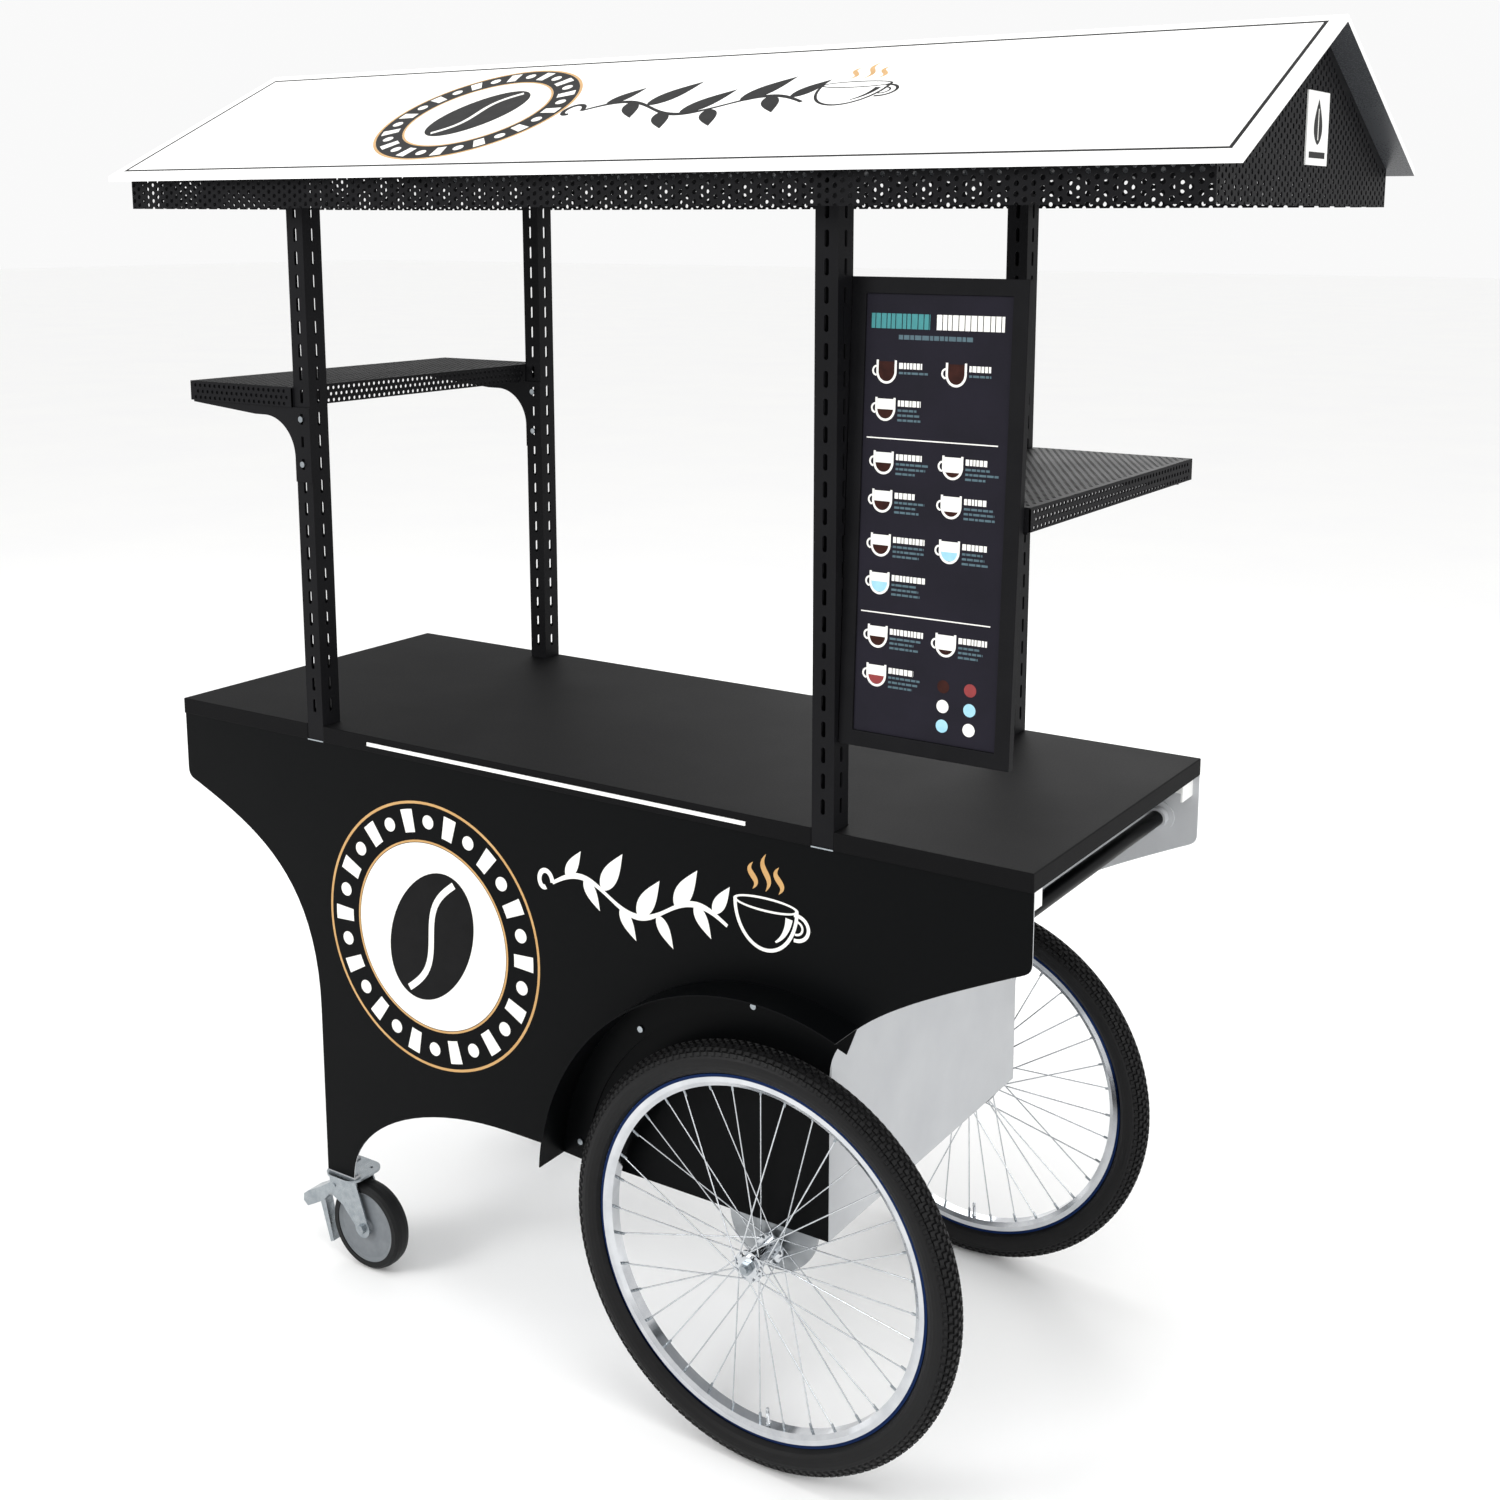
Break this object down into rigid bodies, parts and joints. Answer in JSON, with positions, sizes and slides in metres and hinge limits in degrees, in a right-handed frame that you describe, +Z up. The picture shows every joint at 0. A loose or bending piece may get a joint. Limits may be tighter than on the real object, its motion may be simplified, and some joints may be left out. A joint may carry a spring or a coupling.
{
  "type": "push vending cart",
  "caption": "Hand-pushed street vending cart: sheet body with worktop on two spoked wheels and braked casters, slotted posts, side trays, menu board and pitched canopy.",
  "frame": {"origin": "on the floor under the middle of the canopy, midway between the two sides", "axes": "+X along the cart towards the push bar, +Y towards the vendor side with the doors, +Z up"},
  "size_m": [1.956, 0.788, 2.101],
  "materials": {
    "black_sheet": "satin powder coat",
    "grey_sheet": "satin powder coat",
    "white_sheet": "satin powder coat",
    "frame_tube": "mill finish",
    "worktop_board": "satin black laminate",
    "light_strip": "opal diffuser",
    "zinc_steel": "bright zinc plate",
    "roof_sheet": "gloss white composite sheet",
    "menu_board": "painted board",
    "door_board": "satin painted board",
    "hub_chrome": "polished chrome",
    "rim_alloy": "polished",
    "tyre_rubber": "knobbed rubber",
    "caster_rubber": "smooth rubber",
    "caster_core": "moulded nylon"
  },
  "bodies": {
    "cart": {"front_panel": "black_sheet", "rear_panel": "black_sheet", "left_end_panel": "grey_sheet", "right_end_panel": "grey_sheet", "floor_panel": "grey_sheet", "body_frame": "frame_tube", "worktop": "worktop_board", "edge_light_strip": "light_strip", "post_feet": "zinc_steel", "posts_front": "black_sheet", "posts_rear": "black_sheet", "tray_left": "black_sheet", "tray_right": "black_sheet", "gussets_left": "black_sheet", "gussets_right": "black_sheet", "bolts": "zinc_steel", "roof_panel_front": "roof_sheet", "roof_panel_rear": "roof_sheet", "roof_frame": "frame_tube", "canopy_band_front": "black_sheet", "canopy_band_rear": "black_sheet", "gable_left": "black_sheet", "gable_right": "black_sheet", "gable_plate": "white_sheet", "menu_frame": "menu_board", "menu_panel": "menu_board", "menu_brackets": "black_sheet", "push_handle": "black_sheet", "handle_flanges": "grey_sheet", "overhang_brackets": "white_sheet", "corner_stiffener": "grey_sheet", "fender_front": "black_sheet", "fender_rear": "black_sheet", "axle_plates": "zinc_steel", "axles": "zinc_steel", "door_hinges": "zinc_steel", "caster_plate_front": "zinc_steel", "caster_plate_rear": "zinc_steel"},
    "wheel_front": {"hub_front": "hub_chrome", "spokes_front": "hub_chrome", "rim_front": "rim_alloy", "tyre_front": "tyre_rubber"},
    "wheel_rear": {"hub_rear": "hub_chrome", "spokes_rear": "hub_chrome", "rim_rear": "rim_alloy", "tyre_rear": "tyre_rubber"},
    "swivel_front": {"caster_fork_front": "zinc_steel", "caster_axle_front": "zinc_steel"},
    "swivel_rear": {"caster_fork_rear": "zinc_steel", "caster_axle_rear": "zinc_steel"},
    "roller_front": {"caster_wheel_front": "caster_core", "caster_tyre_front": "caster_rubber"},
    "roller_rear": {"caster_wheel_rear": "caster_core", "caster_tyre_rear": "caster_rubber"},
    "brake_front": {"caster_brake_front": "zinc_steel"},
    "brake_rear": {"caster_brake_rear": "zinc_steel"},
    "door_leaf_left": {"door_left": "door_board", "door_pull_left": "zinc_steel"},
    "door_leaf_right": {"door_right": "door_board", "door_pull_right": "zinc_steel"}
  },
  "joints": [
    {"name": "wheel_front_spin", "type": "hinge", "parent": "cart", "child": "wheel_front", "pos_m": [0.313, -0.35, 0.3325], "axis": [0, 1, 0], "continuous": true},
    {"name": "wheel_rear_spin", "type": "hinge", "parent": "cart", "child": "wheel_rear", "pos_m": [0.313, 0.35, 0.3325], "axis": [0, 1, 0], "continuous": true},
    {"name": "caster_front_swivel", "type": "hinge", "parent": "cart", "child": "swivel_front", "pos_m": [-0.593, -0.284, 0.165], "axis": [0, 0, 1], "continuous": true},
    {"name": "caster_front_roll", "type": "hinge", "parent": "swivel_front", "child": "roller_front", "pos_m": [-0.554, -0.284, 0.08], "axis": [0, 1, 0], "continuous": true},
    {"name": "caster_front_brake", "type": "hinge", "parent": "swivel_front", "child": "brake_front", "pos_m": [-0.621, -0.284, 0.143], "axis": [0, -1, 0], "range_deg": [0, 12]},
    {"name": "caster_rear_swivel", "type": "hinge", "parent": "cart", "child": "swivel_rear", "pos_m": [-0.593, 0.284, 0.165], "axis": [0, 0, 1], "continuous": true},
    {"name": "caster_rear_roll", "type": "hinge", "parent": "swivel_rear", "child": "roller_rear", "pos_m": [-0.554, 0.284, 0.08], "axis": [0, 1, 0], "continuous": true},
    {"name": "caster_rear_brake", "type": "hinge", "parent": "swivel_rear", "child": "brake_rear", "pos_m": [-0.621, 0.284, 0.143], "axis": [0, -1, 0], "range_deg": [0, 12]},
    {"name": "door_left_hinge", "type": "hinge", "parent": "cart", "child": "door_leaf_left", "pos_m": [-0.599, 0.319, 0.672], "axis": [0, 0, 1], "range_deg": [0, 100]},
    {"name": "door_right_hinge", "type": "hinge", "parent": "cart", "child": "door_leaf_right", "pos_m": [-0.139, 0.319, 0.672], "axis": [0, 0, -1], "range_deg": [0, 100]}
  ]
}
